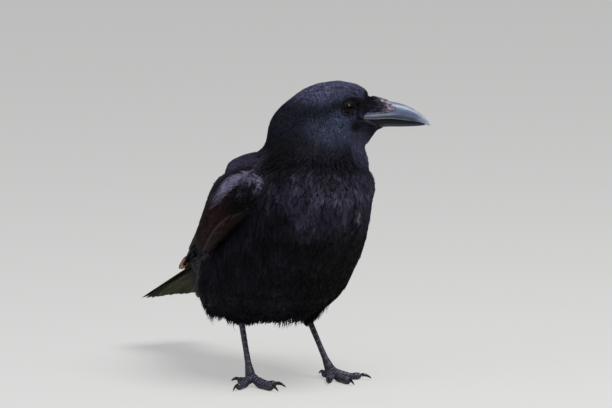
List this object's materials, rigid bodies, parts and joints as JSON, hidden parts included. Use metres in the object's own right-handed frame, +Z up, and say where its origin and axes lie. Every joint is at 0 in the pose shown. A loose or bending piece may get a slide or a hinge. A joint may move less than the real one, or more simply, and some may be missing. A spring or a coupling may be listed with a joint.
{
  "type": "crow",
  "caption": "Life-size still model of a black crow standing on both feet, wings folded, head turned to its left and bill closed.",
  "frame": {"origin": "middle of the standing bird's bounding box, at floor level", "axes": "-Y is the way the bird's body faces, +X its left side, +Z up"},
  "size_m": [0.1532, 0.3178, 0.265],
  "materials": {
    "plumage": "soft black feathers with a faint violet sheen",
    "flight_feathers": "smooth black feathers, worn brown at the edges",
    "tail_feathers": "smooth dull black feathers",
    "bill_horn": "satin blue-black horn",
    "leg_scales": "dull blue-black scales",
    "claw_horn": "glossy black horn",
    "eye": "wet, very dark brown"
  },
  "bodies": {
    "root": {"head": "plumage", "neck": "plumage", "trunk": "plumage", "eye_right": "eye", "eye_left": "eye", "bill_upper": "bill_horn", "bill_lower": "bill_horn", "tail": "tail_feathers", "wing_right": "flight_feathers", "wing_left": "flight_feathers", "thigh_right": "plumage", "tarsus_right": "leg_scales", "toe_right_1": "leg_scales", "claw_right_1": "claw_horn", "toe_right_2": "leg_scales", "claw_right_2": "claw_horn", "toe_right_3": "leg_scales", "claw_right_3": "claw_horn", "toe_right_4": "leg_scales", "claw_right_4": "claw_horn", "thigh_left": "plumage", "tarsus_left": "leg_scales", "toe_left_1": "leg_scales", "claw_left_1": "claw_horn", "toe_left_2": "leg_scales", "claw_left_2": "claw_horn", "toe_left_3": "leg_scales", "claw_left_3": "claw_horn", "toe_left_4": "leg_scales", "claw_left_4": "claw_horn"}
  },
  "joints": []
}
